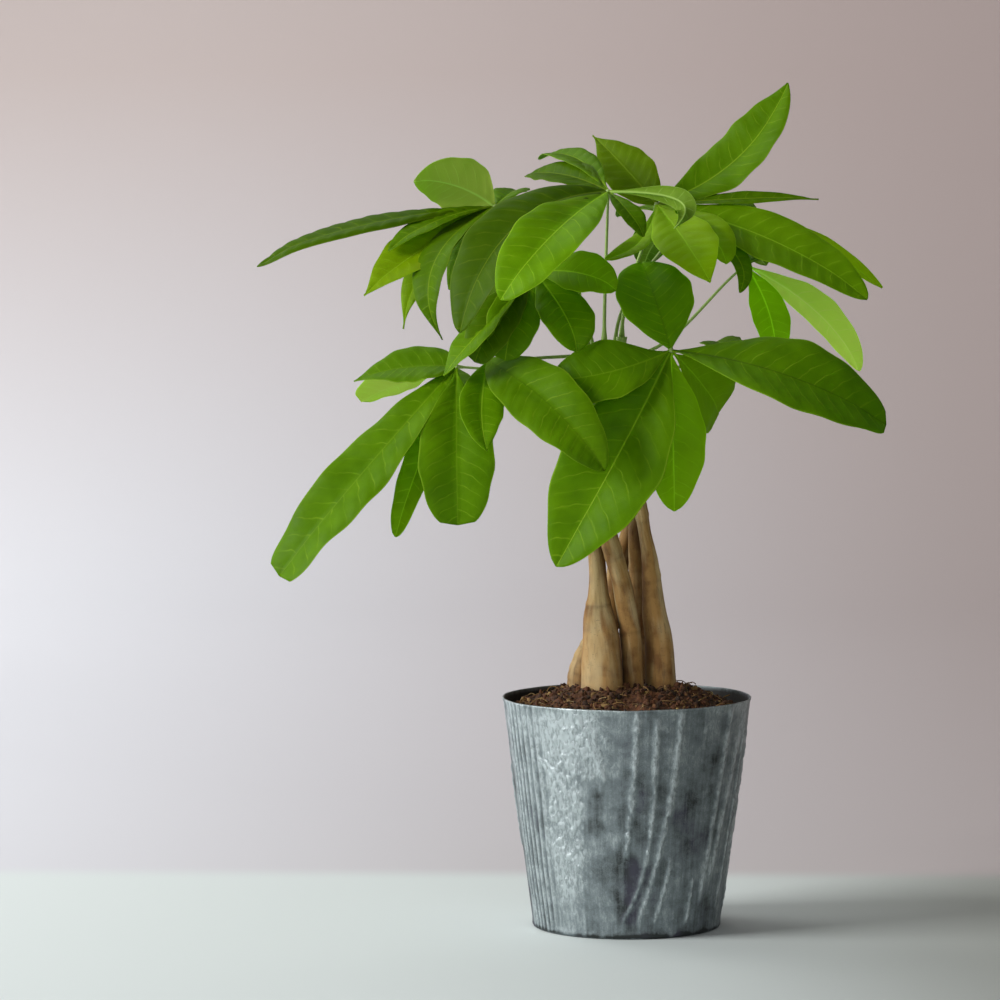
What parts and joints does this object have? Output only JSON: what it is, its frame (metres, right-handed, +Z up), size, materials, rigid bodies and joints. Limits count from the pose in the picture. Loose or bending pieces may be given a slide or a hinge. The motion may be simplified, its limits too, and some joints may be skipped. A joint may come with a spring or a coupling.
{
  "type": "potted money tree",
  "caption": "Braided money tree with palmate leaves, standing in soil in a tapered zinc-finished metal pot.",
  "frame": {"origin": "centre of the pot's flat foot, on the surface that the pot stands on", "axes": "+Z up along the pot's axis; -Y towards the side that the picture shows; +X to the right in the picture"},
  "size_m": [0.3258, 0.2592, 0.4403],
  "materials": {
    "zinc": "antiqued zinc coat on embossed sheet steel, satin, mottled light and dark grey",
    "soil": "coarse moist potting mix of peat and bark, dark reddish brown, matt",
    "bark": "thin smooth tan bark with fine vertical cracks and leaf scars, matt",
    "green_stem": "soft green young stem, satin",
    "leaf": "fresh green leaf, satin upper side with a paler rib and side veins, paler matt underside"
  },
  "bodies": {
    "root": {"pot": "zinc", "soil": "soil", "trunk_left_front": "bark", "trunk_front": "bark", "trunk_right_front": "bark", "trunk_left_back": "bark", "trunk_right_back": "bark", "shoot_back_left": "green_stem", "shoot_left": "green_stem", "shoot_front": "green_stem", "shoot_back_right": "green_stem", "shoot_right": "green_stem", "leaf_front_right": "leaf", "leaf_front_left": "leaf", "leaf_left_low": "leaf", "leaf_left_inner": "leaf", "leaf_left_top": "leaf", "leaf_crown_front": "leaf", "leaf_crown_right": "leaf", "leaf_right_inner": "leaf", "leaf_back_right_high": "leaf", "leaf_back_left_high": "leaf", "leaf_back_right_low": "leaf", "leaf_back_left_low": "leaf", "leaf_back_low": "leaf"}
  },
  "joints": []
}
